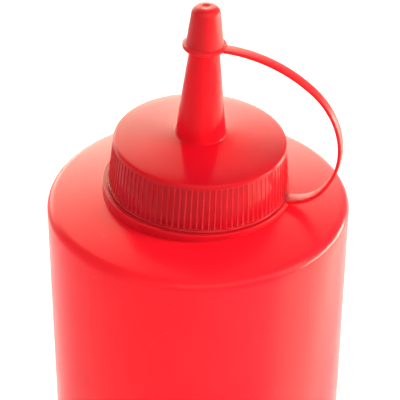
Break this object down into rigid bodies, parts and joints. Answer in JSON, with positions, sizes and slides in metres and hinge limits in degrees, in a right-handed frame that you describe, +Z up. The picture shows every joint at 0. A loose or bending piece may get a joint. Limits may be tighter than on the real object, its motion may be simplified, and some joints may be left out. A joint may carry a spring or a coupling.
{
  "type": "squeeze bottle",
  "caption": "Squeeze bottle for sauces: round hollow body, ribbed screw cap with a tapered pouring spout, and a tip cap held by a strap to a ring on the neck.",
  "frame": {"origin": "middle of the bottle's foot, on the surface it stands on", "axes": "+Z up along the bottle's axis, +X towards the side where the strap stands out"},
  "size_m": [0.07, 0.07, 0.2394],
  "materials": {
    "bottle_plastic": "translucent satin red",
    "cap_plastic": "translucent satin red",
    "tether_plastic": "translucent satin red"
  },
  "bodies": {
    "root": {"bottle": "bottle_plastic", "spout_cap": "cap_plastic", "tip_cap_tether": "tether_plastic"}
  },
  "joints": []
}
